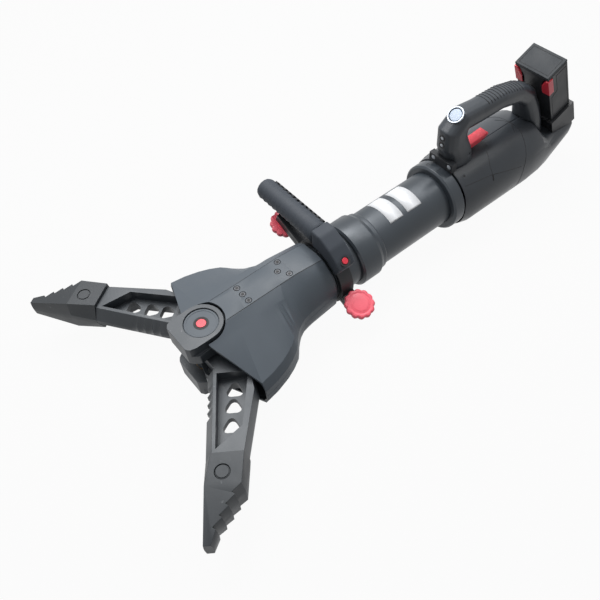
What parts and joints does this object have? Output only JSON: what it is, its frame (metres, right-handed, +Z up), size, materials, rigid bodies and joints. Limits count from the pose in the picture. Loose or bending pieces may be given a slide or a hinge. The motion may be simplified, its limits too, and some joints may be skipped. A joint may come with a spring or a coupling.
{
  "type": "rescue spreader",
  "caption": "Battery rescue spreader: two toothed arms on a central bolt, driven by a cylinder, with a carrying handle, a D handle with trigger, and a slide-in battery.",
  "frame": {"origin": "on the floor, at the middle of the flat head of the central bolt that both arms turn on", "axes": "+X forward along the barrel to the arm tips, +Y to the left, +Z up; the bolt head's face looks along -Z"},
  "size_m": [0.9555, 0.5124, 0.223],
  "materials": {
    "slate_moulding": "moulded slate composite, satin",
    "slate_anodising": "slate anodised aluminium, satin",
    "cast_coating": "satin coated aluminium forging",
    "arm_forging": "black anodised forged aluminium",
    "tip_steel": "phosphated tool steel",
    "plated_steel": "zinc plated",
    "chromed_rod": "hard chrome, ground",
    "bronze": "bearing bronze",
    "black_nylon": "moulded, fine grain",
    "grip_rubber": "soft ribbed rubber",
    "red_nylon": "moulded red nylon",
    "lit_button": "translucent white",
    "circuit_board": "green laminate"
  },
  "bodies": {
    "frame": {"top_cover": "slate_moulding", "bottom_cover": "slate_moulding", "left_housing": "slate_moulding", "right_housing": "slate_moulding", "pivot_cap": "slate_moulding", "neck_ring": "slate_anodising", "cylinder_tube": "slate_anodising", "barrel_sleeve": "slate_anodising", "rear_collar": "slate_anodising", "yoke": "cast_coating", "pump_block": "cast_coating", "pivot_bolt": "plated_steel", "end_plug": "plated_steel", "trigger_pin": "plated_steel", "motor": "plated_steel", "cover_screw_1": "plated_steel", "cover_screw_2": "plated_steel", "cover_screw_3": "plated_steel", "cover_screw_4": "plated_steel", "cover_screw_5": "plated_steel", "cover_screw_6": "plated_steel", "gland": "bronze", "upper_washer": "bronze", "lower_washer": "bronze", "rear_handle": "black_nylon", "lamp_block": "black_nylon", "battery_dock": "black_nylon", "cap_dot": "red_nylon", "control_board": "circuit_board"},
    "left_arm": {"left_arm": "arm_forging", "left_tip": "tip_steel", "left_lever_pin": "plated_steel"},
    "right_arm": {"right_arm": "arm_forging", "right_tip": "tip_steel", "right_lever_pin": "plated_steel"},
    "left_tip_lock": {"left_tip_lock": "tip_steel"},
    "right_tip_lock": {"right_tip_lock": "tip_steel"},
    "left_link": {"left_link": "plated_steel"},
    "right_link": {"right_link": "plated_steel"},
    "piston": {"crosshead": "plated_steel", "left_crosshead_pin": "plated_steel", "right_crosshead_pin": "plated_steel", "piston_rod": "chromed_rod", "piston": "plated_steel", "piston_seal": "grip_rubber"},
    "carrying_handle": {"upper_clamp": "black_nylon", "lower_clamp": "black_nylon", "handle_bracket": "black_nylon", "handle_grip": "grip_rubber", "near_clamp_bolt": "plated_steel", "far_clamp_bolt": "plated_steel"},
    "near_knob": {"near_knob": "red_nylon"},
    "far_knob": {"far_knob": "red_nylon"},
    "handle_button": {"handle_button": "red_nylon"},
    "trigger": {"trigger": "red_nylon"},
    "power_button": {"power_button": "lit_button"},
    "battery": {"battery_case": "black_nylon", "battery_lid": "slate_moulding"},
    "left_latch": {"left_latch": "red_nylon"},
    "right_latch": {"right_latch": "red_nylon"}
  },
  "joints": [
    {"name": "left_arm_hinge", "type": "hinge", "parent": "frame", "child": "left_arm", "pos_m": [0, 0, 0.062], "axis": [0, 0, 1], "range_deg": [-55, 0]},
    {"name": "right_arm_hinge", "type": "hinge", "parent": "frame", "child": "right_arm", "pos_m": [0, 0, 0.062], "axis": [0, 0, 1], "range_deg": [0, 55]},
    {"name": "left_link_hinge", "type": "hinge", "parent": "left_arm", "child": "left_link", "pos_m": [0.01939, -0.03725, 0.062], "axis": [0, 0, 1], "range_deg": [0, 55]},
    {"name": "right_link_hinge", "type": "hinge", "parent": "right_arm", "child": "right_link", "pos_m": [0.01939, 0.03725, 0.062], "axis": [0, 0, 1], "range_deg": [-55, 0]},
    {"name": "piston_slide", "type": "slide", "parent": "frame", "child": "piston", "axis": [1, 0, 0], "range_m": [-0.039, 0]},
    {"name": "left_tip_lock_press", "type": "slide", "parent": "left_arm", "child": "left_tip_lock", "axis": [0, 0, -1], "range_m": [0, 0.003], "stiffness_N_per_m": 800, "springref_m": -0.01},
    {"name": "right_tip_lock_press", "type": "slide", "parent": "right_arm", "child": "right_tip_lock", "axis": [0, 0, -1], "range_m": [0, 0.003], "stiffness_N_per_m": 800, "springref_m": -0.01},
    {"name": "handle_swivel", "type": "hinge", "parent": "frame", "child": "carrying_handle", "pos_m": [-0.226, 0, 0.062], "axis": [1, 0, 0], "range_deg": [-100, 100]},
    {"name": "near_knob_turn", "type": "hinge", "parent": "carrying_handle", "child": "near_knob", "pos_m": [-0.226, 0.07903, 0.0387], "axis": [0, 0.3746, 0.9272], "range_deg": [-180, 180]},
    {"name": "far_knob_turn", "type": "hinge", "parent": "carrying_handle", "child": "far_knob", "pos_m": [-0.226, -0.09942, 0.09354], "axis": [0, -0.3746, -0.9272], "range_deg": [-180, 180]},
    {"name": "handle_button_press", "type": "slide", "parent": "carrying_handle", "child": "handle_button", "axis": [0, -0.6428, -0.766], "range_m": [0, 0.0025], "stiffness_N_per_m": 400, "springref_m": -0.002},
    {"name": "trigger_pull", "type": "hinge", "parent": "frame", "child": "trigger", "pos_m": [-0.522, 0, 0.133], "axis": [0, 1, 0], "range_deg": [0, 12], "stiffness_Nm_per_rad": 0.4, "springref_deg": -8.59},
    {"name": "power_button_press", "type": "slide", "parent": "frame", "child": "power_button", "axis": [-0.5736, 0, -0.8192], "range_m": [0, 0.002], "stiffness_N_per_m": 600, "springref_m": -0.002},
    {"name": "battery_slide", "type": "slide", "parent": "frame", "child": "battery", "axis": [0.3584, 0, 0.9336], "range_m": [0, 0.06]},
    {"name": "left_latch_press", "type": "slide", "parent": "battery", "child": "left_latch", "axis": [0, -1, 0], "range_m": [0, 0.003], "stiffness_N_per_m": 400, "springref_m": -0.002},
    {"name": "right_latch_press", "type": "slide", "parent": "battery", "child": "right_latch", "axis": [0, 1, 0], "range_m": [0, 0.003], "stiffness_N_per_m": 400, "springref_m": -0.002}
  ],
  "couplings": [
    {"joint": "right_arm_hinge", "follows": "left_arm_hinge", "ratio": -1},
    {"joint": "left_link_hinge", "follows": "left_arm_hinge", "ratio": -1},
    {"joint": "right_link_hinge", "follows": "left_arm_hinge", "ratio": 1},
    {"joint": "piston_slide", "follows": "left_arm_hinge", "m_per_rad": 0.040406}
  ]
}
